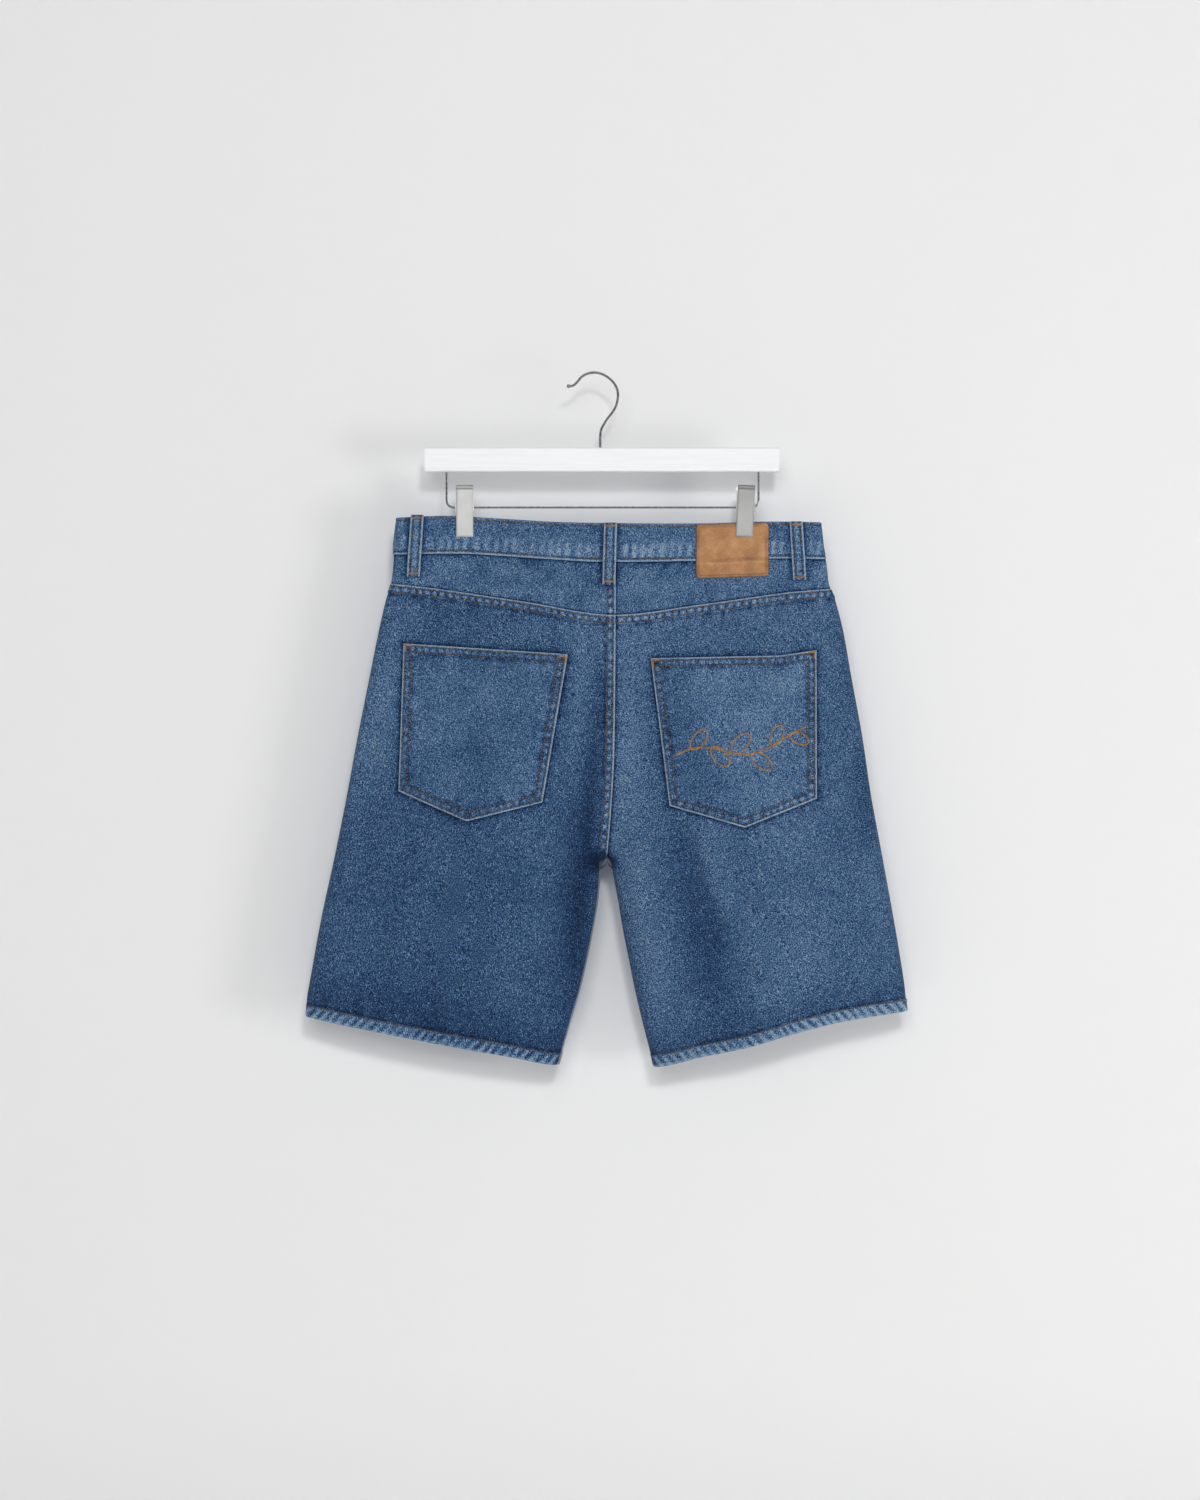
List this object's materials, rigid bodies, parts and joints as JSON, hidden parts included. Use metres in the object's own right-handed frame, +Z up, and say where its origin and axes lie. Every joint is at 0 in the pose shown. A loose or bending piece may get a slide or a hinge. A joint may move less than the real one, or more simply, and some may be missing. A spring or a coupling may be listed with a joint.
{
  "type": "denim shorts on a clip hanger",
  "caption": "Loose mid-blue denim shorts with yoke, patch pockets, belt loops and a blank leather patch, hung by the waistband from a white clip hanger.",
  "frame": {"origin": "inside the top of the hanger's hook, where it bears on a rail", "axes": "+Z up, +X to the right of someone looking at the back of the shorts, -Y out of the back of the shorts towards that person"},
  "size_m": [0.6017, 0.0505, 0.6948],
  "materials": {
    "denim": "stonewashed twill",
    "leather": "smooth tan",
    "button_metal": "aged",
    "bar_paint": "white satin paint",
    "hook_steel": "bright",
    "clip_steel": "satin"
  },
  "bodies": {
    "root": {"back_left": "denim", "back_right": "denim", "yoke_left": "denim", "yoke_right": "denim", "front_left": "denim", "front_right": "denim", "pocket_facing_left": "denim", "pocket_facing_right": "denim", "fly_shield": "denim", "waistband": "denim", "back_pocket_left": "denim", "back_pocket_right": "denim", "belt_loop_back_left": "denim", "belt_loop_back": "denim", "belt_loop_back_right": "denim", "belt_loop_front_left": "denim", "belt_loop_front_right": "denim", "leather_patch": "leather", "fly_button": "button_metal", "hanger_bar": "bar_paint", "hanger_hook": "hook_steel", "hanger_wire": "hook_steel", "hanger_wire_left": "hook_steel", "hanger_wire_right": "hook_steel", "clip_left_back": "clip_steel", "clip_left_front": "clip_steel", "clip_left_spring": "clip_steel", "clip_right_back": "clip_steel", "clip_right_front": "clip_steel", "clip_right_spring": "clip_steel"}
  },
  "joints": []
}
